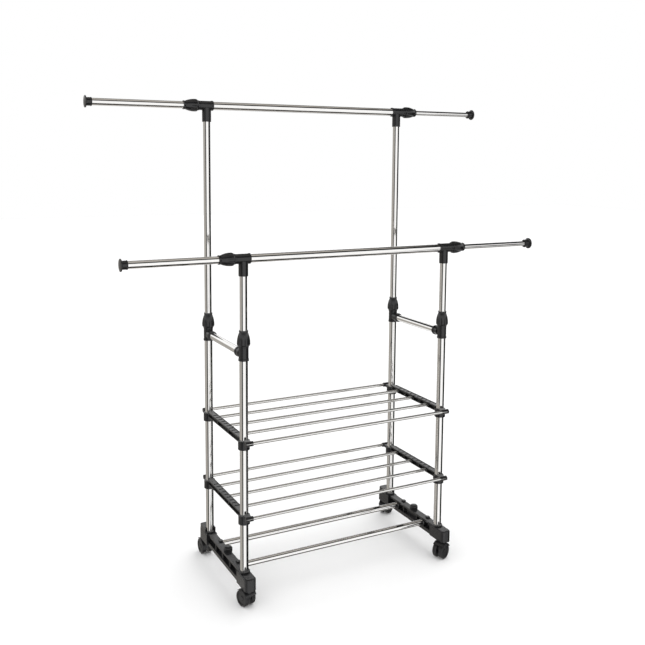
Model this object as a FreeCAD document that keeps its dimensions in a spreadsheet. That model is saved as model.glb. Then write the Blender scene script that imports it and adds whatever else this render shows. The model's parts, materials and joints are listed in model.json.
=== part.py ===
import FreeCAD, Part
import math
import os
import Sketcher

Vector = FreeCAD.Vector
Rotation = FreeCAD.Rotation

# Driving sizes in millimetres. The origin is on the floor, midway between the
# four posts. +X runs along the rails, +Y from the low rail to the high rail.
SIZES = {
    "post_span": 700.0,
    "post_depth": 300.0,
    "post_od": 25.0,
    "post_wall": 1.0,
    "post_foot": 60.0,
    "post_top": 762.0,
    "slider_od": 22.0,
    "slider_wall": 1.0,
    "slider_length": 760.0,
    "slider_drop": 14.0,
    "guide_od": 22.9,
    "guide_length": 16.0,
    "seat_fit": 0.05,
    "slide_fit": 0.2,
    "collar_bottom": 737.0,
    "collar_height": 43.0,
    "collar_od": 29.0,
    "socket_od": 28.0,
    "socket_reach": 37.0,
    "mouth_od": 31.0,
    "mouth_length": 6.0,
    "crossbar_z": 757.0,
    "crossbar_start": 15.5,
    "spigot_length": 24.0,
    "spigot_od": 26.5,
    "nut_gap": 0.3,
    "nut_height": 46.0,
    "nut_od": 39.0,
    "nut_tip_od": 25.6,
    "nut_widest": 7.0,
    "slot": 2.4,
    "front_rail_z": 1035.0,
    "rear_rail_z": 1482.0,
    "tee_inner": 20.0,
    "tee_outer": 30.0,
    "tee_drop": 50.0,
    "rail_od": 25.0,
    "rail_inset": 18.0,
    "big_arm_od": 22.0,
    "small_arm_od": 16.0,
    "arm_length": 380.0,
    "bead_length": 5.0,
    "cap_od": 25.0,
    "cap_length": 20.0,
    "cap_flange_od": 36.0,
    "cap_face": 4.5,
    "cap_flange": 3.2,
    "tip_front_left": 705.0,
    "tip_front_right": 707.0,
    "tip_rear_left": 725.0,
    "tip_rear_right": 679.0,
    "base_top": 92.0,
    "base_bottom": 54.0,
    "base_half": 205.0,
    "block_start": 132.0,
    "block_width": 36.0,
    "foot_width": 28.0,
    "spine_width": 24.0,
    "flange_thick": 6.0,
    "foot_height": 12.0,
    "web_thick": 6.0,
    "rib_thick": 4.0,
    "entry_od": 34.0,
    "entry_rise": 4.0,
    "boss_od": 27.0,
    "boss_rise": 13.0,
    "boss_shift": 6.0,
    "hump_rise": 12.0,
    "bar_od": 19.0,
    "bar_y": 80.0,
    "bar_z": 77.0,
    "bump_y": 76.0,
    "bump_shift": 10.0,
    "lower_shelf_z": 257.0,
    "upper_shelf_z": 485.0,
    "ring_od": 35.0,
    "ring_height": 27.0,
    "rod_od": 10.0,
    "rod_pitch": 91.0,
    "rod_rise": 11.0,
    "beam_width": 20.0,
    "beam_height": 16.0,
    "clip_od": 15.0,
    "clip_shift": 3.0,
    "clip_half": 12.0,
    "stem_y": 184.0,
    "stem_od": 7.0,
    "stem_top": 78.0,
    "wheel_od": 50.0,
    "wheel_width": 14.0,
    "fork_thick": 9.0,
    "caster_trail": 13.0,
    "axle_od": 6.0,
    "hood_gap": 0.8,
    "hood_thick": 1.8,
}

DOC = FreeCAD.newDocument("clothes_rack")
SHEET = DOC.addObject("Spreadsheet::Sheet", "Sizes")
for row, (alias, value) in enumerate(SIZES.items(), start=1):
    SHEET.set("A%d" % row, alias)
    SHEET.set("B%d" % row, str(value))
    SHEET.setAlias("B%d" % row, alias)
DOC.recompute()

NODES = []


def size(alias):
    return float(SHEET.get(alias))


def sheet(expression):
    """Turn every size name in a formula into a reference to the sheet."""
    words = expression.replace("(", " ( ").replace(")", " ) ").split()
    return " ".join("Sizes." + word if word in SIZES else word for word in words)


# ---------------------------------------------------------------- helpers

def new_body(label):
    body = DOC.addObject("PartDesign::Body", label)
    body.Label = label
    body.AllowCompound = True
    NODES.append(body)
    return body


def new_sketch(body, name, role="XY_Plane", height=0.0):
    """A sketch on one of the body's own origin planes."""
    planes = [f for f in body.Origin.OriginFeatures if f.Role == role]
    sk = body.newObject("Sketcher::SketchObject", name)
    sk.AttachmentSupport = (planes[0], [""])
    sk.MapMode = "FlatFace"
    sk.AttachmentOffset = FreeCAD.Placement(Vector(0, 0, height), Rotation())
    return sk


def centred_circle(sk, radius):
    """A circle on the sketch origin whose radius follows a sheet formula."""
    index = sk.addGeometry(Part.Circle(Vector(), Vector(0, 0, 1), 5.0), False)
    sk.addConstraint(Sketcher.Constraint("Coincident", index, 3, -1, 1))
    number = sk.addConstraint(Sketcher.Constraint("Radius", index, 5.0))
    sk.setExpression("Constraints[%d]" % number, sheet(radius))


def circle_at(sk, x, y, radius):
    sk.addGeometry(Part.Circle(Vector(x, y, 0), Vector(0, 0, 1), radius), False)


def outline(sk, points):
    """A closed outline. A point with four numbers ends an arc through its first two."""
    start = Vector(points[0][0], points[0][1], 0)
    here = start
    for point in points[1:] + [points[0]]:
        end = Vector(point[-2], point[-1], 0)
        if len(point) == 4:
            middle = Vector(point[0], point[1], 0)
            arc = Part.ArcOfCircle(here, middle, end)
            sk.addGeometry(arc, False)
        else:
            sk.addGeometry(Part.LineSegment(here, end), False)
        here = end


def box_outline(sk, x_low, x_high, y_low, y_high):
    outline(sk, [(x_low, y_low), (x_high, y_low), (x_high, y_high), (x_low, y_high)])


def pad(body, sk, length, side="One side", reverse=False):
    feature = body.newObject("PartDesign::Pad", sk.Name + "_pad")
    feature.Profile = sk
    feature.SideType = side
    feature.Reversed = reverse
    feature.setExpression("Length", sheet(length))
    return feature


def pocket(body, sk, length=None, side="One side", reverse=False):
    """A pocket of a given depth, or through everything both ways."""
    feature = body.newObject("PartDesign::Pocket", sk.Name + "_pocket")
    feature.Profile = sk
    if length is None:
        feature.SideType = "Symmetric"
        feature.Type = "ThroughAll"
    else:
        feature.SideType = side
        feature.Reversed = reverse
        feature.setExpression("Length", sheet(length))
    return feature


def revolve(body, sk, axis="V_Axis"):
    feature = body.newObject("PartDesign::Revolution", sk.Name + "_turn")
    feature.Profile = sk
    feature.ReferenceAxis = (sk, [axis])
    feature.Angle = 360
    return feature


def round_edges(body, name, picks, radius):
    """Fillet every edge of the body's shape so far that the test accepts."""
    DOC.recompute()
    base = body.Tip
    names = ["Edge%d" % i for i, e in enumerate(base.Shape.Edges, start=1) if picks(e)]
    feature = body.newObject("PartDesign::Fillet", name)
    feature.Base = (base, names)
    feature.Radius = radius
    return feature


def place(obj, x="0", y="0", z="0", rotation=None):
    """Bind a body's position to sheet formulas."""
    obj.Placement = FreeCAD.Placement(Vector(), rotation or Rotation())
    for axis, formula in (("x", x), ("y", y), ("z", z)):
        obj.setExpression("Placement.Base." + axis, sheet(formula))


def along_x():
    return Rotation(Vector(0, 1, 0), 90)


def along_y():
    return Rotation(Vector(1, 0, 0), -90)


def flipped():
    return Rotation(Vector(0, 0, 1), 180)


def half_turn_if(condition):
    return flipped() if condition else Rotation()


# Post positions: name, X sign, Y sign.
POSTS = [
    ("front_left", -1, -1),
    ("front_right", 1, -1),
    ("rear_left", -1, 1),
    ("rear_right", 1, 1),
]
RAIL_HEIGHT = {"front": "front_rail_z", "rear": "rear_rail_z"}


def signed(sign, formula):
    return ("-1 * ( %s )" if sign < 0 else "1 * ( %s )") % formula


# ---------------------------------------------------------------- tubes

def tube(label, length, outer, inner=None):
    """A round tube or rod that starts at the origin and runs up Z."""
    body = new_body(label)
    sk = new_sketch(body, label + "_ring")
    centred_circle(sk, outer)
    if inner:
        centred_circle(sk, inner)
    pad(body, sk, length)
    return body


def beaded_tube(label, length, outer, inner):
    """A tube with a rolled bead at its inner end, which starts at the origin."""
    body = tube(label, length, outer, inner)
    sk = new_sketch(body, label + "_bead")
    centred_circle(sk, "guide_od / 2")
    centred_circle(sk, inner)
    pad(body, sk, "bead_length")
    return body


def build_posts():
    for name, sx, sy in POSTS:
        outer = tube("outer_post_" + name, "post_top - post_foot",
                     "post_od / 2", "post_od / 2 - post_wall")
        place(outer, signed(sx, "post_span / 2"), signed(sy, "post_depth / 2"), "post_foot")
        rail_z = RAIL_HEIGHT[name.split("_")[0]]
        bottom = "%s - slider_drop - slider_length" % rail_z
        inner = tube("inner_post_" + name, "slider_length",
                     "slider_od / 2", "slider_od / 2 - slider_wall")
        place(inner, signed(sx, "post_span / 2"), signed(sy, "post_depth / 2"), bottom)


def build_post_guides(row, sy):
    """Two plastic bushes pressed on the lower ends of a pair of inner posts."""
    body = new_body(row + "_post_guides")
    sk = new_sketch(body, row + "_guide_rings")
    for sx in (-1, 1):
        x = sx * size("post_span") / 2
        circle_at(sk, x, 0, size("guide_od") / 2)
        circle_at(sk, x, 0, size("slider_od") / 2)
    pad(body, sk, "guide_length")
    bottom = "%s - slider_drop - slider_length" % RAIL_HEIGHT[row]
    place(body, "0", signed(sy, "post_depth / 2"), bottom)


def build_bars():
    for side, sx in (("left", -1), ("right", 1)):
        bar = tube("side_crossbar_" + side, "post_depth - 2 * crossbar_start",
                   "slider_od / 2", "slider_od / 2 - slider_wall")
        place(bar, signed(sx, "post_span / 2"), "crossbar_start - post_depth / 2",
              "crossbar_z", along_y())
    for row, sy in (("front", -1), ("rear", 1)):
        bar = tube("base_bar_" + row, "post_span - web_thick", "bar_od / 2", "bar_od / 2 - 1")
        place(bar, "( web_thick - post_span ) / 2", signed(sy, "bar_y"), "bar_z", along_x())


# ---------------------------------------------------------------- collars and tees

def build_collar(name, sx, sy):
    """Height collar: post socket, slotted spigot for the nut and crossbar socket."""
    label = "height_collar_" + name
    body = new_body(label)
    height = size("collar_height")
    top = height + size("spigot_length")
    seat = size("post_top") - size("collar_bottom")
    sk = new_sketch(body, label + "_profile", "XZ_Plane")
    bore = size("post_od") / 2 + size("seat_fit")
    throat = size("slider_od") / 2 + size("slide_fit")
    body_r = size("collar_od") / 2
    spigot_r = size("spigot_od") / 2
    lip = 1.0
    outline(sk, [(bore, 0), (body_r + lip, 0), (body_r + lip, 5), (body_r, 6.5),
                 (body_r, height - 5), (body_r + lip, height - 4), (body_r + lip, height),
                 (spigot_r, height), (spigot_r, top - 1), (spigot_r - 1, top),
                 (throat, top), (throat, seat), (bore, seat)])
    revolve(body, sk)
    sock = new_sketch(body, label + "_socket", "XZ_Plane", size("crossbar_start"))
    axis_z = size("crossbar_z") - size("collar_bottom")
    circle_at(sock, 0, axis_z, size("socket_od") / 2)
    circle_at(sock, 0, axis_z, size("slider_od") / 2 + size("seat_fit"))
    pad(body, sock, "socket_reach - crossbar_start")
    mouth = new_sketch(body, label + "_mouth", "XZ_Plane", size("socket_reach") - size("mouth_length"))
    circle_at(mouth, 0, axis_z, size("mouth_od") / 2)
    circle_at(mouth, 0, axis_z, size("slider_od") / 2 + size("seat_fit"))
    pad(body, mouth, "mouth_length")
    root = new_sketch(body, label + "_root", "XZ_Plane", bore + 1)
    circle_at(root, 0, axis_z, size("socket_od") / 2)
    pad(body, root, "crossbar_start - %s" % (bore + 1))
    inside = new_sketch(body, label + "_post_bore")
    circle_at(inside, 0, 0, bore)
    pocket(body, inside, str(seat), reverse=True)
    slots = new_sketch(body, label + "_slots", "XY_Plane", height + 4)
    box_outline(slots, -spigot_r - 1, spigot_r + 1, -size("slot") / 2, size("slot") / 2)
    pocket(body, slots, "spigot_length", reverse=True)
    turn = half_turn_if(sy < 0)
    place(body, signed(sx, "post_span / 2"), signed(sy, "post_depth / 2"), "collar_bottom", turn)


def build_rail_tee(name, sx, sy, arm_od):
    """Rail tee: the rail seats from the inner side, the inner post from below."""
    label = "rail_tee_" + name
    body = new_body(label)
    inner = size("tee_inner")
    outer = size("tee_outer")
    seat = size("rail_inset")
    top = outer + size("spigot_length")
    bore = size("rail_od") / 2 + size("seat_fit")
    throat = arm_od / 2 + size("slide_fit")
    body_r = size("collar_od") / 2
    spigot_r = size("spigot_od") / 2
    lip = 1.0
    # Local +X points away from the middle of the rack.
    post = new_sketch(body, label + "_post_socket", "XY_Plane", -size("tee_drop"))
    circle_at(post, 0, 0, size("socket_od") / 2)
    pad(body, post, "tee_drop - %s / 2" % (bore + 1))
    sk = new_sketch(body, label + "_profile", "XZ_Plane")
    outline(sk, [(-inner, 0), (-inner, body_r + lip), (4 - inner, body_r + lip),
                 (5.5 - inner, body_r), (outer - 5, body_r), (outer - 4, body_r + lip),
                 (outer, body_r + lip), (outer, spigot_r), (top - 1, spigot_r),
                 (top, spigot_r - 1), (top, 0)])
    revolve(body, sk, "H_Axis")
    hole = new_sketch(body, label + "_bore", "XZ_Plane")
    outline(hole, [(-inner - 1, 0), (-inner - 1, bore), (seat, bore), (seat, throat),
                   (top + 1, throat), (top + 1, 0)])
    groove = body.newObject("PartDesign::Groove", label + "_bore_cut")
    groove.Profile = hole
    groove.ReferenceAxis = (hole, ["H_Axis"])
    groove.Angle = 360
    stem = new_sketch(body, label + "_post_bore", "XY_Plane", -size("tee_drop"))
    circle_at(stem, 0, 0, size("slider_od") / 2 + size("seat_fit"))
    pocket(body, stem, "tee_drop - slider_drop", reverse=True)
    slots = new_sketch(body, label + "_slots", "YZ_Plane", outer + 4)
    box_outline(slots, -spigot_r - 1, spigot_r + 1, -size("slot") / 2, size("slot") / 2)
    pocket(body, slots, "spigot_length", reverse=True)
    place(body, signed(sx, "post_span / 2"), signed(sy, "post_depth / 2"),
          RAIL_HEIGHT[name.split("_")[0]], half_turn_if(sx < 0))


def build_nut(label, tube_od):
    """Twist nut: a barrel that narrows to a crown-shaped tip. Starts at the origin."""
    body = new_body(label)
    height = size("nut_height")
    rim = size("nut_od") / 2
    widest = size("nut_widest")
    tip = size("nut_tip_od") / 2
    room = size("spigot_od") / 2 + 0.35
    throat = tube_od / 2 + 0.4
    chamber = size("spigot_length") + 1.5
    crown = 6.0
    flare = 1.0
    neck = height - crown
    # The barrel's side is one arc that bulges past the straight taper.
    bulge = 1.9
    sk = new_sketch(body, label + "_profile", "XZ_Plane")
    outline(sk, [(room, 0), (rim - 3.5, 0), (rim - 0.8, widest / 2 - 0.6, rim, widest),
                 ((rim + tip) / 2 + bulge, (widest + neck) / 2, tip, neck),
                 (tip + flare, height - 2), (tip + flare - 0.4, height), (throat, height),
                 (throat, height - 10), (room, chamber)])
    revolve(body, sk)
    count = 8
    # Each flute leaves a lens-shaped flat on the barrel.
    flutes = new_sketch(body, label + "_flutes")
    flute_r = 7.0
    flute_at = rim - 1.9 + flute_r
    for i in range(count):
        angle = 2 * math.pi * i / count
        circle_at(flutes, flute_at * math.cos(angle), flute_at * math.sin(angle), flute_r)
    pocket(body, flutes)
    scallops = new_sketch(body, label + "_scallops", "XY_Plane", height - 4)
    notch_r = 2.6
    notch_at = tip + notch_r + 0.1
    for i in range(count):
        angle = 2 * math.pi * (i + 0.5) / count
        circle_at(scallops, notch_at * math.cos(angle), notch_at * math.sin(angle), notch_r)
    pocket(body, scallops, "4", reverse=True)
    return body


def build_collars_and_nuts():
    for name, sx, sy in POSTS:
        build_collar(name, sx, sy)
        nut = build_nut("height_nut_" + name, size("slider_od"))
        place(nut, signed(sx, "post_span / 2"), signed(sy, "post_depth / 2"),
              "collar_bottom + collar_height + nut_gap")
        arm = "big_arm_od" if sx < 0 else "small_arm_od"
        build_rail_tee(name, sx, sy, size(arm))
        arm_nut = build_nut("arm_nut_" + name, size(arm))
        turn = along_x()
        if sx < 0:
            turn = Rotation(Vector(0, 1, 0), -90)
        place(arm_nut, signed(sx, "post_span / 2 + tee_outer + nut_gap"),
              signed(sy, "post_depth / 2"), RAIL_HEIGHT[name.split("_")[0]], turn)


# ---------------------------------------------------------------- rails

def dome_middle(radius, base, rise):
    """The middle point of a shallow dome's arc, whose centre lies on the axis."""
    ball = (radius ** 2 + rise ** 2) / (2 * rise)
    x = radius / 2
    return (x, base + rise - ball + math.sqrt(ball ** 2 - x ** 2))


def build_cap(label, arm_od):
    """End cap: sleeve over the arm and a round stop flange with a domed face."""
    body = new_body(label)
    length = size("cap_length")
    sleeve = size("cap_od") / 2
    flange = size("cap_flange_od") / 2
    face = size("cap_face")
    bore = arm_od / 2 + size("seat_fit")
    sk = new_sketch(body, label + "_profile", "XZ_Plane")
    lip = 0.8
    thick = size("cap_flange")
    start = length - thick
    outline(sk, [(0, start - 2), (bore, start - 2), (bore, 0), (sleeve, 0),
                 (sleeve + lip, lip), (sleeve + lip, 2.4), (sleeve, 3.4), (sleeve, start - 1.5),
                 (flange - 1.2, start), (flange - 0.3, start + 0.4, flange, start + 1.3),
                 (flange, length - 1.2), (flange - 0.3, length - 0.3, flange - 1.2, length),
                 dome_middle(flange - 1.2, length, face - thick) + (0, length + face - thick)])
    revolve(body, sk)
    return body


def build_arm(name, sx, sy, arm_od):
    """A pull-out arm: tube and end cap, plus a guide plug on the thin one."""
    row = name.split("_")[0]
    tip = "tip_" + name
    inset = "( cap_face - cap_flange )"
    thin = arm_od == "small_arm_od"
    maker = tube if thin else beaded_tube
    bar = maker("rail_arm_" + name, "arm_length", arm_od + " / 2", arm_od + " / 2 - 1")
    turn = along_x() if sx > 0 else Rotation(Vector(0, 1, 0), -90)
    depth = signed(sy, "post_depth / 2")
    start = "%s - %s - cap_flange - 2 - arm_length" % (tip, inset)
    place(bar, signed(sx, start), depth, RAIL_HEIGHT[row], turn)
    cap = build_cap("end_cap_" + name, size(arm_od))
    place(cap, signed(sx, "%s - %s - cap_length" % (tip, inset)), depth, RAIL_HEIGHT[row], turn)
    if thin:
        guide = tube("arm_guide_" + name, "guide_length", "guide_od / 2", "small_arm_od / 2")
        place(guide, signed(sx, start), depth, RAIL_HEIGHT[row], turn)


def build_rails():
    for row, sy in (("front", -1), ("rear", 1)):
        rail = tube(row + "_rail", "post_span + 2 * rail_inset",
                    "rail_od / 2", "rail_od / 2 - post_wall")
        place(rail, "-1 * ( post_span / 2 + rail_inset )", signed(sy, "post_depth / 2"),
              RAIL_HEIGHT[row], along_x())
    for name, sx, sy in POSTS:
        build_arm(name, sx, sy, "big_arm_od" if sx < 0 else "small_arm_od")


# ---------------------------------------------------------------- base

def end_block_outline(sk, way):
    """Plan of one end block: straight sides and a rounded nose."""
    half = size("block_width") / 2
    start = way * size("block_start")
    nose = way * size("base_half")
    shoulder = way * (size("base_half") - 13)
    corner = way * (size("base_half") - 3.5)
    outline(sk, [(-half, start), (-half, shoulder), (-half + 3.6, corner, -6, nose),
                 (6, nose), (half - 3.6, corner, half, shoulder), (half, start)])


def build_base(label, sx):
    """Side base: ribbed beam between two end blocks. Local +X faces the rack's middle."""
    body = new_body(label)
    bottom = size("base_bottom")
    top = size("base_top")
    start = size("block_start")
    flange = size("flange_thick")
    web = size("web_thick") / 2
    foot = new_sketch(body, label + "_foot", "XY_Plane", bottom)
    box_outline(foot, -size("foot_width") / 2, size("foot_width") / 2, -start - 3, start + 3)
    pad(body, foot, "foot_height")
    spine = new_sketch(body, label + "_spine", "XY_Plane", top - flange)
    box_outline(spine, -size("spine_width") / 2, size("spine_width") / 2, -start - 3, start + 3)
    pad(body, spine, "flange_thick")
    core = new_sketch(body, label + "_web", "XY_Plane", bottom + 2)
    box_outline(core, -web, web, -start - 3, start + 3)
    pad(body, core, "base_top - base_bottom - 4")
    for way in (-1, 1):
        block = new_sketch(body, "%s_block_%s" % (label, "fr"[way > 0]), "XY_Plane", bottom)
        end_block_outline(block, way)
        pad(body, block, "base_top - base_bottom")
    nose_y = size("base_half") - 12

    def block_rim(edge, level):
        box = edge.BoundBox
        at_level = abs(box.ZMin - level) < 0.01 and abs(box.ZMax - level) < 0.01
        return at_level and (box.YMin >= start - 0.1 or box.YMax <= -start + 0.1)

    round_edges(body, label + "_top_round", lambda e: block_rim(e, top)
                and abs(e.CenterOfMass.y) > start + 0.5 and abs(e.CenterOfMass.x) > 0.1
                or block_rim(e, top) and abs(e.CenterOfMass.y) > nose_y, 4.0)
    ribs(body, label)
    bar_sockets(body, label, -sx)
    rear_hump(body, label, -sx)
    entry_collars(body, label)
    middle_boss(body, label, -sx)
    base_bores(body, label)
    place(body, signed(sx, "post_span / 2"), "0", "0", half_turn_if(sx > 0))


def ribs(body, label):
    """Outer ribs make four pockets; inner ribs stiffen the bar side."""
    thick = size("rib_thick") / 2
    edge = size("spine_width") / 2
    outer = new_sketch(body, label + "_outer_ribs", "XY_Plane", size("base_bottom") + 2)
    for y in (-62, 0, 62):
        box_outline(outer, -edge, 0, y - thick, y + thick)
    pad(body, outer, "base_top - base_bottom - 4")
    inner = new_sketch(body, label + "_inner_ribs", "XY_Plane", size("base_bottom") + 2)
    for y in (-40, 40):
        box_outline(inner, 0, edge - 2, y - thick, y + thick)
    pad(body, inner, "base_top - base_bottom - 4")


def bar_sockets(body, label, lean):
    """Round sockets on the inner side for the base bars, with a bump above each.

    The lean is 1 where the rack's +X is the body's own +X, and -1 where it is turned.
    """
    socket = new_sketch(body, label + "_bar_sockets", "YZ_Plane")
    for y in (-size("bar_y"), size("bar_y")):
        circle_at(socket, y, size("bar_z"), size("bar_od") / 2 + 3)
    pad(body, socket, "spine_width / 2 + 1.5")
    bump = new_sketch(body, label + "_bumps", "XY_Plane", size("base_top") - 1)
    x_pair = sorted((lean, lean * size("spine_width") / 2))
    for way in (-1, 1):
        y = way * size("bump_y") - lean * size("bump_shift")
        box_outline(bump, x_pair[0], x_pair[1], y - 6, y + 6)
    pad(body, bump, "5")


def rear_hump(body, label, rear):
    """The raised wall that wraps the outer side of the rear post."""
    sk = new_sketch(body, label + "_hump", "XY_Plane", size("base_top") - 1)
    half = size("block_width") / 2
    inner = size("post_od") / 2 + 2.5
    back = 4.0
    ends = math.sqrt(inner ** 2 - back ** 2)
    post = size("post_depth") / 2
    nose = rear * (size("base_half") - 6)
    shoulder = rear * (size("base_half") - 13)
    low = rear * (post - back)
    outline(sk, [(-half, low), (-half, shoulder), (-half + 3, rear * (size("base_half") - 8), -7, nose),
                 (7, nose), (half - 3, rear * (size("base_half") - 8), half, shoulder),
                 (half, low), (ends, low), (0, rear * (post + inner), -ends, low)])
    pad(body, sk, "hump_rise + 1")


def entry_collars(body, label):
    """A raised ring round each post."""
    ring = new_sketch(body, label + "_entries", "XY_Plane", size("base_top") - 1)
    for y in (-size("post_depth") / 2, size("post_depth") / 2):
        circle_at(ring, 0, y, size("entry_od") / 2)
    pad(body, ring, "entry_rise + 1")


def middle_boss(body, label, lean):
    """A low domed boss at mid-length, set towards the rack's +X side."""
    radius = size("boss_od") / 2
    low = size("base_top") - 8
    high = size("base_top") + size("boss_rise")
    sk = new_sketch(body, label + "_boss", "XZ_Plane")
    sk.AttachmentOffset = FreeCAD.Placement(Vector(lean * size("boss_shift"), 0, 0), Rotation())
    outline(sk, [(0, low), (radius - 3, low), (radius, low + 4), (radius, high - 6),
                 (radius - 2.2, high - 1.8, radius - 7, high), (0, high)])
    revolve(body, sk)


def base_bores(body, label):
    """Blind bores for the posts, the base bars and the caster stems."""
    posts = new_sketch(body, label + "_post_bores", "XY_Plane", size("post_foot"))
    for y in (-size("post_depth") / 2, size("post_depth") / 2):
        circle_at(posts, 0, y, size("post_od") / 2 + size("seat_fit"))
    pocket(body, posts, "60", reverse=True)
    bars = new_sketch(body, label + "_bar_bores", "YZ_Plane", size("web_thick") / 2)
    for y in (-size("bar_y"), size("bar_y")):
        circle_at(bars, y, size("bar_z"), size("bar_od") / 2 + size("seat_fit"))
    pocket(body, bars, "30", reverse=True)
    stems = new_sketch(body, label + "_stem_bores", "XY_Plane", size("base_bottom"))
    for y in (-size("stem_y"), size("stem_y")):
        circle_at(stems, 0, y, size("stem_od") / 2)
    pocket(body, stems, "stem_top - base_bottom", reverse=True)


# ---------------------------------------------------------------- shelves

def build_bracket(label, sx, shelf):
    """Shelf bracket: two post rings, a ribbed beam, rod sockets and rod clips."""
    body = new_body(label)
    reach = size("post_depth") / 2
    rise = size("rod_rise")
    half = size("beam_width") / 2
    low = rise - size("beam_height") / 2
    top = rise + size("beam_height") / 2
    rings = new_sketch(body, label + "_rings", "XY_Plane", -size("ring_height") / 2)
    for y in (-reach, reach):
        circle_at(rings, 0, y, size("ring_od") / 2)
    pad(body, rings, "ring_height")
    span = reach - size("post_od") / 2 - 1
    for name, level, height in (("foot", low, 3), ("cap", top - 3, 3)):
        sk = new_sketch(body, "%s_%s" % (label, name), "XY_Plane", level)
        box_outline(sk, -half, half, -span, span)
        pad(body, sk, str(height))
    web = new_sketch(body, label + "_web", "XY_Plane", low + 1)
    box_outline(web, -2, 2, -span, span)
    pad(body, web, "beam_height - 2")
    edge = new_sketch(body, label + "_ridges", "XY_Plane", top - 1)
    for x in (-half, half - 2):
        box_outline(edge, x, x + 2, -span + 5, span - 5)
    for i in range(-4, 5):
        middle = i * size("rod_pitch") / 4
        box_outline(edge, 2 - half, half - 2, middle - 1, middle + 1)
    pad(body, edge, "2.2")
    ribs_out = new_sketch(body, label + "_ribs", "XY_Plane", low + 1)
    for y in (-0.5, 0.5):
        middle = y * size("rod_pitch")
        box_outline(ribs_out, -half + 1, half - 1, middle - 1.5, middle + 1.5)
    pad(body, ribs_out, "beam_height - 2")
    sockets = new_sketch(body, label + "_sockets", "YZ_Plane")
    for i in (-1, 0, 1):
        circle_at(sockets, i * size("rod_pitch"), rise, size("rod_od") / 2 + 2.6)
    pad(body, sockets, "beam_width / 2 + 1")
    bracket_clips(body, label, rise)
    bracket_bores(body, label, rise)
    place(body, signed(sx, "post_span / 2"), "0", shelf, half_turn_if(sx > 0))


def bracket_clips(body, label, rise):
    """Sleeves for the outermost rods, one beside each ring."""
    far = 2 * size("rod_pitch")
    half = size("clip_half")
    radius = size("clip_od") / 2
    inner = size("post_depth") / 2
    for way in (-1, 1):
        name = "%s_clip_%s" % (label, "fr"[way > 0])
        start = size("clip_shift") - half
        sk = new_sketch(body, name, "YZ_Plane", start)
        circle_at(sk, way * far, rise, radius)
        pad(body, sk, "2 * clip_half")
        arm = new_sketch(body, name + "_arm", "XY_Plane", rise - 5)
        y_pair = sorted((way * inner, way * far))
        box_outline(arm, start + 2, start + 2 * half - 2, y_pair[0], y_pair[1])
        pad(body, arm, "9")


def bracket_bores(body, label, rise):
    """Bores for the posts and the rods, and the snap slit of each clip."""
    posts = new_sketch(body, label + "_post_bores")
    for y in (-size("post_depth") / 2, size("post_depth") / 2):
        circle_at(posts, 0, y, size("post_od") / 2 + size("seat_fit"))
    pocket(body, posts)
    rod_r = size("rod_od") / 2 + size("seat_fit")
    rods = new_sketch(body, label + "_rod_bores", "YZ_Plane", 2)
    for i in (-1, 0, 1):
        circle_at(rods, i * size("rod_pitch"), rise, rod_r)
    pocket(body, rods, "30", reverse=True)
    far = 2 * size("rod_pitch")
    ends = size("clip_half") - 2
    for way in (-1, 1):
        name = "%s_clip_bore_%s" % (label, "fr"[way > 0])
        # The clip is closed at the end that faces away from the other bracket.
        start = size("clip_shift") - ends
        sk = new_sketch(body, name, "YZ_Plane", start)
        circle_at(sk, way * far, rise, rod_r)
        pocket(body, sk, "60", reverse=True)
        slit = new_sketch(body, name + "_slit", "XY_Plane", rise - 1.5)
        y_pair = sorted((way * (far + 3), way * (far + 12)))
        box_outline(slit, start, start + 30, y_pair[0], y_pair[1])
        pocket(body, slit, "3", reverse=True)


def build_rods(label, shelf):
    """Five shelf rods. The outer two run past the posts into the clips."""
    body = new_body(label)
    radius = size("rod_od") / 2
    half = size("post_span") / 2
    inner = new_sketch(body, label + "_inner", "YZ_Plane", -half + 2)
    for i in (-1, 0, 1):
        circle_at(inner, i * size("rod_pitch"), 0, radius)
    pad(body, inner, "post_span - 4")
    DOC.recompute()
    for way in (-1, 1):
        sk = new_sketch(body, "%s_outer_%s" % (label, "fr"[way > 0]), "YZ_Plane",
                        size("clip_shift") - half - size("clip_half") + 2)
        circle_at(sk, way * 2 * size("rod_pitch"), 0, radius)
        pad(body, sk, "post_span + 2 * clip_half - 2 * clip_shift - 4")
    place(body, "0", "0", shelf + " + rod_rise")


# ---------------------------------------------------------------- casters

# Swivel angle of each caster in degrees, from the stem towards the wheels.
SWIVEL = {"front_left": 105.0, "front_right": -156.0, "rear_left": 92.0, "rear_right": 33.0}


def build_stems():
    """Four steel stems pressed in the bases, one under each end block."""
    body = new_body("caster_stems")
    low = size("wheel_od") / 2 + 6
    sk = new_sketch(body, "stem_circles", "XY_Plane", low)
    for _, sx, sy in POSTS:
        circle_at(sk, sx * size("post_span") / 2, sy * size("stem_y"), size("stem_od") / 2)
    pad(body, sk, "stem_top - %s" % low)


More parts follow.
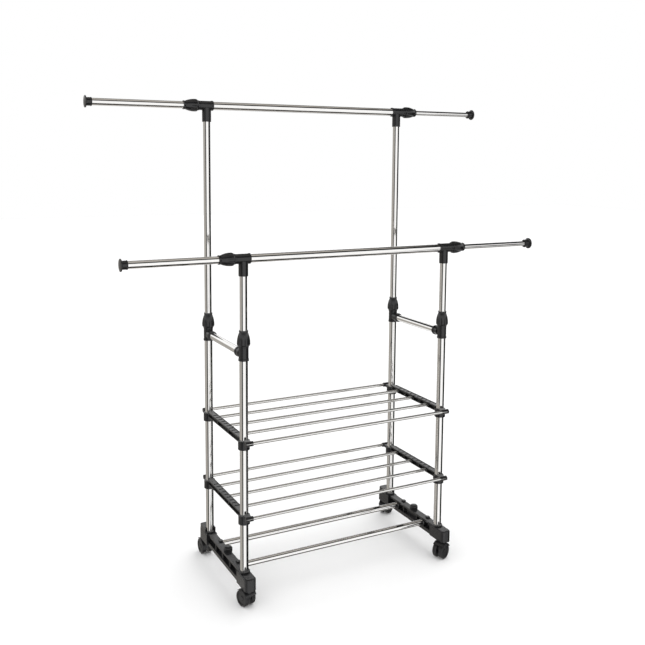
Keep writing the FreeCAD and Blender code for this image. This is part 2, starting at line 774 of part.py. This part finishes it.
def build_caster_fork(name, sx, sy):
    """Caster fork: a middle plate that carries the axle, and a hood over both wheels."""
    label = "caster_fork_" + name
    body = new_body(label)
    trail = size("caster_trail")
    wheel = size("wheel_od") / 2
    inside = wheel + size("hood_gap")
    outside = inside + size("hood_thick")
    half = size("fork_thick") / 2
    width = half + size("wheel_width") + 0.5
    plate = new_sketch(body, label + "_plate", "XZ_Plane")
    neck = size("stem_od") / 2 + 3.5
    crown = wheel + outside
    outline(plate, [(-neck, wheel - 2), (trail - 8, 14), (trail, 11, trail + 9, 14),
                    (trail + 16, wheel + 8), (trail + 8, wheel + 20), (trail, crown - 1),
                    (-neck, crown - 1)])
    pad(body, plate, "fork_thick", "Symmetric")
    hood = new_sketch(body, label + "_hood", "XZ_Plane")

    def on_arc(radius, degrees):
        angle = math.radians(degrees)
        return (trail + radius * math.cos(angle), wheel + radius * math.sin(angle))

    back, front = 158, 50
    outline(hood, [on_arc(outside, back), on_arc(outside, 100) + on_arc(outside, front),
                   on_arc(inside, front), on_arc(inside, 100) + on_arc(inside, back)])
    pad(body, hood, str(2 * width), "Symmetric")
    boss = new_sketch(body, label + "_boss", "XY_Plane", wheel + 20)
    circle_at(boss, 0, 0, 11)
    pad(body, boss, "base_bottom - 0.8 - wheel_od / 2 - 20")
    for way in (-1, 1):
        room = new_sketch(body, "%s_room_%s" % (label, "ab"[way > 0]), "XZ_Plane",
                          half if way > 0 else -half - 20)
        circle_at(room, trail, wheel, inside - 0.05)
        pocket(body, room, "20", reverse=True)
    axle = new_sketch(body, label + "_axle_bore", "XZ_Plane")
    circle_at(axle, trail, wheel, size("axle_od") / 2 + 0.06)
    pocket(body, axle)
    stem = new_sketch(body, label + "_stem_bore", "XY_Plane", wheel + 5)
    circle_at(stem, 0, 0, size("stem_od") / 2 + 0.06)
    pocket(body, stem, "40", reverse=True)
    place(body, signed(sx, "post_span / 2"), signed(sy, "stem_y"), "0",
          Rotation(Vector(0, 0, 1), SWIVEL[name]))


def build_caster_wheels(name, sx, sy):
    """Twin wheels on one axle, drawn about the axle and laid across the trail."""
    label = "caster_wheels_" + name
    body = new_body(label)
    rim = size("wheel_od") / 2
    axle = size("axle_od") / 2
    near = size("fork_thick") / 2 + 0.5
    far = near + size("wheel_width")
    dish = 2.2
    right = [(near, axle), (near, rim - 2), (near + 0.6, rim - 0.6, near + 2, rim),
             (far - 3, rim), (far - 0.9, rim - 0.9, far, rim - 3), (far, rim - 6),
             (far - dish, rim - 7.5), (far - dish, 8), (far - 0.5, 7), (far - 0.5, 0)]
    sk = new_sketch(body, label + "_profile", "YZ_Plane")
    left = [(-x, y) for x, y in [p[-2:] for p in right]]
    mirrored = []
    for index in range(len(right) - 1, -1, -1):
        mirrored.append(left[index])
    profile = right + [(-far + 0.5, 0)] + mirrored[1:]
    outline(sk, profile)
    revolve(body, sk, "H_Axis")
    turn = Rotation(Vector(0, 0, 1), SWIVEL[name])
    angle = math.radians(SWIVEL[name])
    place(body, signed(sx, "post_span / 2") + " + caster_trail * %r" % math.cos(angle),
          signed(sy, "stem_y") + " + caster_trail * %r" % math.sin(angle),
          "wheel_od / 2", turn)


def build_casters():
    build_stems()
    for name, sx, sy in POSTS:
        build_caster_fork(name, sx, sy)
        build_caster_wheels(name, sx, sy)


# ---------------------------------------------------------------- build and write

def build_all():
    build_base("left_base", -1)
    build_base("right_base", 1)
    build_posts()
    build_post_guides("front", -1)
    build_post_guides("rear", 1)
    build_bars()
    build_collars_and_nuts()
    build_rails()
    for shelf in ("lower", "upper"):
        for side, sx in (("left", -1), ("right", 1)):
            build_bracket("%s_bracket_%s" % (shelf, side), sx, shelf + "_shelf_z")
        build_rods(shelf + "_shelf_rods", shelf + "_shelf_z")
    build_casters()


def check_and_write():
    DOC.recompute()
    bad = [obj.Name for obj in DOC.Objects if "Invalid" in obj.State or "Error" in obj.State]
    if bad:
        raise RuntimeError("these objects failed: %s" % bad)
    os.makedirs("parts", exist_ok=True)
    for node in NODES:
        shape = node.Shape
        if shape.isNull() or not shape.isValid():
            raise RuntimeError("bad shape: " + node.Label)
        shape.exportStep("parts/%s.step" % node.Label)


build_all()
check_and_write()
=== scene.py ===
import json
import math

import bpy
from mathutils import Euler, Matrix, Vector


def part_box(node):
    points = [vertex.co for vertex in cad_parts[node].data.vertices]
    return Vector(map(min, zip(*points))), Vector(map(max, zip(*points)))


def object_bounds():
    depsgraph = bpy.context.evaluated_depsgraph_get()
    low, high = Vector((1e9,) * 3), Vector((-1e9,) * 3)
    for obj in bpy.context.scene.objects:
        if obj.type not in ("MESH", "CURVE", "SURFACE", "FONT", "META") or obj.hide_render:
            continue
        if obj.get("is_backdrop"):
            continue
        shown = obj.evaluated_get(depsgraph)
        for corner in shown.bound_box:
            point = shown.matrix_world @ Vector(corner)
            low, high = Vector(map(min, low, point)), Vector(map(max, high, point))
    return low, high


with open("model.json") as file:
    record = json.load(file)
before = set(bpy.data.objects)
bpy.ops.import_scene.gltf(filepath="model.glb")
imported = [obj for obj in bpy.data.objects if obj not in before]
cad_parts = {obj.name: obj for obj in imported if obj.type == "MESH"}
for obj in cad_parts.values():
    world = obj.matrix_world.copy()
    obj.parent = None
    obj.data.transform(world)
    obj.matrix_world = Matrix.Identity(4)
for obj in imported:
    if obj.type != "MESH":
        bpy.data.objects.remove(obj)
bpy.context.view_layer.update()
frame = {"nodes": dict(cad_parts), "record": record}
NODES = frame["nodes"]

# ---------------------------------------------------------------- palette

CHROME = (0.90, 0.89, 0.875)
ROD_CHROME = (0.82, 0.81, 0.79)
BLACK = (0.0085, 0.0085, 0.009)
WHEEL_BLACK = (0.008, 0.008, 0.0085)
RUBBED_BLACK = (0.05, 0.049, 0.047)
ZINC = (0.60, 0.60, 0.62)
FLOOR = (0.88, 0.88, 0.88)

# What the bright metal and the satin plastic mirror.
WALL_WHITE = (1.12, 1.12, 1.12)
WALL_DARK = (0.012, 0.012, 0.013)
WALL_WARM = (0.43, 0.41, 0.38)
CEILING = (0.46, 0.435, 0.40)
APRON = (0.035, 0.030, 0.026)
GROUND_GLOW = (0.62, 0.60, 0.57)

# Brightness that the camera sees behind the floor, and that lights every matt surface.
BACKDROP = 1.0
AMBIENT = 1.24

# Elevations in degrees: the walls stand between the first two, and the lit ground behind
# the rack starts below the third, this far back along +Y.
WALL_FOOT = (-32, -30)
WALL_TOP = (4, 9)
GROUND_TOP = -40
GROUND_START = 0.18

# Surface detail sizes in metres.
FINE_GRAIN = 0.0006
SMUDGE = 0.045
SPECK = 0.004
STREAK_WIDTH = 0.0011
STREAK_RATIO = 0.012
FLOW = 0.03
SCUFF = 0.006
TURNED_RING = 0.0005
STAIN = 0.008
FLOOR_MOTTLE = 0.5

FLOOR_SIZE = 30.0
KEY_DIRECTION = (-0.55, -0.35, -1.0)
KEY_STRENGTH = 0.36
KEY_SPREAD = 34.0
KEY_DISTANCE = 4.0

# The viewpoint, in metres and degrees.
EYE = (-1.2382, -2.3425, 1.3311)
HEADING = 27.55
FALL = 6.5
ROLL = 0.425
SENSOR_MM = 36.0
LENS_MM = 46.28
SHIFT_Y = -0.113

AXES = {"X": 0, "Y": 1, "Z": 2}


# ---------------------------------------------------------------- node helpers

class NodeGraph:
    """Adds and links the nodes of one node tree."""

    def __init__(self, tree):
        self.tree = tree

    def add(self, kind, **values):
        node = self.tree.nodes.new(kind)
        for key, value in values.items():
            setattr(node, key, value)
        return node

    def link(self, source, target):
        self.tree.links.new(source, target)

    def feed(self, socket, value):
        """Link an output to the socket, or set the socket to a plain value."""
        if isinstance(value, tuple):
            socket.default_value = value + (1.0,)
        elif isinstance(value, (int, float)):
            socket.default_value = value
        else:
            self.link(value, socket)

    def remap(self, value, low, high, start=0.3, end=0.7):
        node = self.add("ShaderNodeMapRange")
        node.inputs["From Min"].default_value = start
        node.inputs["From Max"].default_value = end
        node.inputs["To Min"].default_value = low
        node.inputs["To Max"].default_value = high
        self.link(value, node.inputs["Value"])
        return node.outputs["Result"]

    def maths(self, operation, first, second):
        node = self.add("ShaderNodeMath", operation=operation)
        for socket, value in zip(node.inputs, (first, second)):
            self.feed(socket, value)
        return node.outputs["Value"]

    def mix(self, factor, first, second):
        node = self.add("ShaderNodeMix", data_type="RGBA")
        sockets = {s.name: s for s in node.inputs if s.enabled}
        for name, value in (("Factor", factor), ("A", first), ("B", second)):
            self.feed(sockets[name], value)
        return [s for s in node.outputs if s.enabled][0]


class SurfaceGraph(NodeGraph):
    """The node tree of one material, laid out in the object's own space."""

    def __init__(self, name):
        self.material = bpy.data.materials.new(name)
        self.material.use_nodes = True
        super().__init__(self.material.node_tree)
        self.shader = self.tree.nodes["Principled BSDF"]
        self.place = self.add("ShaderNodeTexCoord").outputs["Object"]

    def noise(self, scale, detail=2.0, stretch=(1, 1, 1), roughness=0.5):
        mapping = self.add("ShaderNodeMapping")
        mapping.inputs["Scale"].default_value = stretch
        self.link(self.place, mapping.inputs["Vector"])
        noise = self.add("ShaderNodeTexNoise")
        noise.inputs["Scale"].default_value = scale
        noise.inputs["Detail"].default_value = detail
        noise.inputs["Roughness"].default_value = roughness
        self.link(mapping.outputs["Vector"], noise.inputs["Vector"])
        return noise.outputs["Fac"]

    def bump(self, height, distance, strength=1.0, under=None):
        node = self.add("ShaderNodeBump")
        node.inputs["Distance"].default_value = distance
        node.inputs["Strength"].default_value = strength
        self.link(height, node.inputs["Height"])
        if under:
            self.link(under, node.inputs["Normal"])
        return node.outputs["Normal"]


def scaled(color, factor):
    return tuple(min(1.0, channel * factor) for channel in color)


# ---------------------------------------------------------------- materials

def chrome(name, color, along, roughness=0.05):
    """Chrome plate on drawn tube: faint streaks along the tube and soft smudges."""
    graph = SurfaceGraph(name)
    stretch = [1.0, 1.0, 1.0]
    stretch[AXES[along]] = STREAK_RATIO
    streaks = graph.noise(1 / STREAK_WIDTH, 3.0, tuple(stretch))
    smudges = graph.noise(1 / SMUDGE, 4.0)
    specks = graph.noise(1 / SPECK, 2.0)
    shade = graph.mix(graph.remap(smudges, 0.0, 1.0), scaled(color, 0.94), color)
    shade = graph.mix(graph.remap(streaks, 0.0, 0.35), shade, scaled(color, 0.86))
    graph.link(shade, graph.shader.inputs["Base Color"])
    rough = graph.remap(smudges, roughness * 0.8, roughness * 1.6)
    rough = graph.maths("ADD", rough, graph.remap(streaks, 0.0, 0.025))
    rough = graph.maths("ADD", rough, graph.remap(specks, 0.0, 0.05, 0.62, 0.75))
    graph.link(rough, graph.shader.inputs["Roughness"])
    normal = graph.bump(streaks, 0.00001, 0.5)
    normal = graph.bump(smudges, 0.00004, 0.3, normal)
    graph.link(normal, graph.shader.inputs["Normal"])
    graph.shader.inputs["Metallic"].default_value = 1.0
    return graph.material


def moulded(name, color, roughness=0.20, dust=0.0):
    """Injection-moulded plastic: spark-eroded grain, flow shading and rubbed marks."""
    graph = SurfaceGraph(name)
    grain = graph.noise(1 / FINE_GRAIN, 2.0)
    flow = graph.noise(1 / FLOW, 3.0, (1.0, 1.0, 0.4))
    scuffs = graph.noise(1 / SCUFF, 5.0, (1.0, 0.3, 1.0), 0.7)
    shade = graph.mix(graph.remap(flow, 0.0, 1.0), scaled(color, 0.85), scaled(color, 1.35))
    shade = graph.mix(graph.remap(grain, 0.0, 0.5), shade, scaled(color, 1.6))
    marks = graph.remap(scuffs, 0.0, 0.22 + dust, 0.60, 0.78)
    shade = graph.mix(marks, shade, RUBBED_BLACK)
    graph.link(shade, graph.shader.inputs["Base Color"])
    rough = graph.remap(flow, roughness - 0.06, roughness + 0.08)
    rough = graph.maths("ADD", rough, graph.remap(scuffs, 0.0, 0.14, 0.55, 0.75))
    graph.link(rough, graph.shader.inputs["Roughness"])
    normal = graph.bump(grain, 0.00006, 0.6)
    normal = graph.bump(scuffs, 0.00004, 0.4, normal)
    graph.link(normal, graph.shader.inputs["Normal"])
    graph.shader.inputs["Specular IOR Level"].default_value = 0.5
    return graph.material


def zinc_pin(name):
    """Zinc-plated steel pin with turned rings."""
    graph = SurfaceGraph(name)
    rings = graph.noise(1 / TURNED_RING, 2.0, (0.05, 0.05, 1.0))
    stain = graph.noise(1 / STAIN, 4.0)
    shade = graph.mix(graph.remap(stain, 0.0, 1.0), scaled(ZINC, 0.8), ZINC)
    graph.link(shade, graph.shader.inputs["Base Color"])
    graph.link(graph.remap(rings, 0.25, 0.42), graph.shader.inputs["Roughness"])
    graph.link(graph.bump(rings, 0.00003, 0.6), graph.shader.inputs["Normal"])
    graph.shader.inputs["Metallic"].default_value = 1.0
    return graph.material


def floor_paint():
    """Pale, even studio floor with a very slight mottle."""
    graph = SurfaceGraph("studio_floor")
    mottle = graph.noise(1 / FLOOR_MOTTLE, 4.0)
    grain = graph.noise(1 / SPECK, 2.0)
    shade = graph.mix(graph.remap(mottle, 0.0, 1.0), scaled(FLOOR, 0.985), FLOOR)
    graph.link(shade, graph.shader.inputs["Base Color"])
    graph.link(graph.remap(grain, 0.62, 0.7), graph.shader.inputs["Roughness"])
    graph.shader.inputs["Specular IOR Level"].default_value = 0.12
    return graph.material


def main_axis(node):
    low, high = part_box(node)
    spans = [high[i] - low[i] for i in range(3)]
    return "XYZ"[spans.index(max(spans))]


def paint(node, material):
    obj = NODES[node]
    obj.data.materials.clear()
    obj.data.materials.append(material)


def finish_nodes():
    tube = {axis: chrome("chrome_along_" + axis.lower(), CHROME, axis) for axis in AXES}
    rod = chrome("chrome_rods", ROD_CHROME, "X", 0.08)
    plastic = moulded("moulded_black", BLACK)
    wheel = moulded("wheel_black", WHEEL_BLACK, 0.38, 0.15)
    pin = zinc_pin("zinc_pin")
    slots = {part["node"]: part["material_slot"] for part in frame["record"]["subparts"]}
    for node, slot_name in slots.items():
        if slot_name == "chrome_tube":
            paint(node, tube[main_axis(node)])
        elif slot_name == "chrome_rod":
            paint(node, rod)
        elif slot_name == "wheel_plastic":
            paint(node, wheel)
        elif slot_name == "zinc_steel":
            paint(node, pin)
        else:
            paint(node, plastic)


# ---------------------------------------------------------------- studio

def floor():
    mesh = bpy.data.meshes.new("floor")
    half = FLOOR_SIZE / 2
    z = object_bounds()[0][2]
    corners = [(-half, -half, z), (half, -half, z), (half, half, z), (-half, half, z)]
    mesh.from_pydata(corners, [], [(0, 1, 2, 3)])
    mesh.materials.append(floor_paint())
    obj = bpy.data.objects.new("floor", mesh)
    bpy.context.scene.collection.objects.link(obj)
    obj.visible_glossy = False
    obj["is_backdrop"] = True


def soft_sun(name, direction, strength, spread):
    """A broad, far lamp that lights the whole floor evenly."""
    data = bpy.data.lights.new(name, "SUN")
    data.energy = strength
    data.angle = math.radians(spread)
    obj = bpy.data.objects.new(name, data)
    obj.location = (-Vector(direction)).normalized() * KEY_DISTANCE
    obj.rotation_euler = Vector(direction).to_track_quat("-Z", "Y").to_euler()
    obj.visible_glossy = False
    bpy.context.scene.collection.objects.link(obj)


class WorldGraph(NodeGraph):
    """The node tree of the studio world, driven by the direction a ray leaves in."""

    def __init__(self):
        world = bpy.data.worlds.new("studio")
        bpy.context.scene.world = world
        world.use_nodes = True
        super().__init__(world.node_tree)
        self.tree.nodes.clear()
        place = self.add("ShaderNodeTexCoord").outputs["Generated"]
        parts = self.add("ShaderNodeSeparateXYZ")
        self.link(place, parts.inputs["Vector"])
        self.parts = parts.outputs

    def share(self, value, low, high):
        """Where the value lies between low and high, from 0 to 1."""
        return self.remap(value, 0.0, 1.0, low, high)

    def ramp(self, value, stops):
        node = self.add("ShaderNodeValToRGB")
        elements = node.color_ramp.elements
        elements.remove(elements[-1])
        elements[0].position = stops[0][0]
        elements[0].color = stops[0][1] + (1.0,)
        for position, color in stops[1:]:
            elements.new(position).color = color + (1.0,)
        self.link(value, node.inputs["Fac"])
        return node.outputs["Color"]

    def background(self, color):
        node = self.add("ShaderNodeBackground")
        self.feed(node.inputs["Color"], color)
        return node.outputs["Background"]

    def choose(self, factor, first, second):
        node = self.add("ShaderNodeMixShader")
        for socket, source in zip(node.inputs, (factor, first, second)):
            self.link(source, socket)
        return node.outputs["Shader"]


def turned(degrees):
    """Place of a compass angle on the azimuth ramp."""
    return (degrees + 180.0) / 360.0


def raised(degrees):
    """Place of an elevation on the height ramp."""
    return (math.sin(math.radians(degrees)) + 1.0) / 2.0


def wall_bands(graph):
    """The walls round the rack, by azimuth in degrees from +X."""
    azimuth = graph.maths("ARCTAN2", graph.parts["Y"], graph.parts["X"])
    return graph.ramp(graph.share(azimuth, -math.pi, math.pi), [
        (0.0, WALL_WARM), (turned(-161), WALL_WARM), (turned(-157), WALL_DARK),
        (turned(-132), WALL_DARK), (turned(-128), WALL_WHITE), (turned(-55), WALL_WHITE),
        (turned(-50), WALL_DARK), (turned(64), WALL_DARK), (turned(70), WALL_WARM),
        (1.0, WALL_WARM)])


def mirrored_room(graph):
    """What glossy rays meet: walls at eye level, tiers above and below, ground behind."""
    black = (0.0, 0.0, 0.0)
    full = (1.0, 1.0, 1.0)
    height = graph.share(graph.parts["Z"], -1.0, 1.0)
    walls = wall_bands(graph)
    tiers = graph.ramp(height, [
        (0.0, APRON), (raised(-46), APRON), (raised(-43), WALL_WHITE),
        (raised(27), WALL_WHITE), (raised(30), WALL_DARK), (raised(54), WALL_DARK),
        (raised(58), CEILING), (1.0, CEILING)])
    beside = graph.ramp(height, [
        (0.0, black), (raised(WALL_FOOT[0]), black), (raised(WALL_FOOT[1]), full),
        (raised(WALL_TOP[0]), full), (raised(WALL_TOP[1]), black), (1.0, black)])
    ground_sine = math.sin(math.radians(GROUND_TOP))
    below = graph.maths("LESS_THAN", graph.parts["Z"], ground_sine)
    behind = graph.maths("GREATER_THAN", graph.parts["Y"], GROUND_START)
    room = graph.mix(beside, tiers, walls)
    return graph.mix(graph.maths("MULTIPLY", below, behind), room, GROUND_GLOW)


def studio_world():
    """Plain white to the camera, even light on matt surfaces, a room in the gloss."""
    graph = WorldGraph()
    path = graph.add("ShaderNodeLightPath").outputs
    ambient = graph.background((AMBIENT,) * 3)
    backdrop = graph.background((BACKDROP,) * 3)
    mirrored = graph.background(mirrored_room(graph))
    light = graph.choose(path["Is Glossy Ray"], ambient, mirrored)
    light = graph.choose(path["Is Camera Ray"], light, backdrop)
    out = graph.add("ShaderNodeOutputWorld")
    graph.link(light, out.inputs["Surface"])


def camera():
    """The viewpoint, fitted to the posts and rails."""
    data = bpy.data.cameras.new("view")
    data.sensor_width = SENSOR_MM
    data.lens = LENS_MM
    data.shift_y = SHIFT_Y
    obj = bpy.data.objects.new("view", data)
    heading = math.radians(HEADING)
    fall = math.radians(FALL)
    roll = math.radians(ROLL)
    turn = Euler((math.pi / 2 - fall, 0.0, -heading)).to_matrix()
    obj.rotation_euler = (turn @ Matrix.Rotation(roll, 3, "Z")).to_euler()
    obj.location = EYE
    bpy.context.scene.collection.objects.link(obj)
    bpy.context.scene.camera = obj


def studio():
    floor()
    studio_world()
    soft_sun("key", KEY_DIRECTION, KEY_STRENGTH, KEY_SPREAD)
    camera()
    scene = bpy.context.scene
    scene.view_settings.view_transform = "Standard"
    scene.view_settings.look = "None"


finish_nodes()
studio()
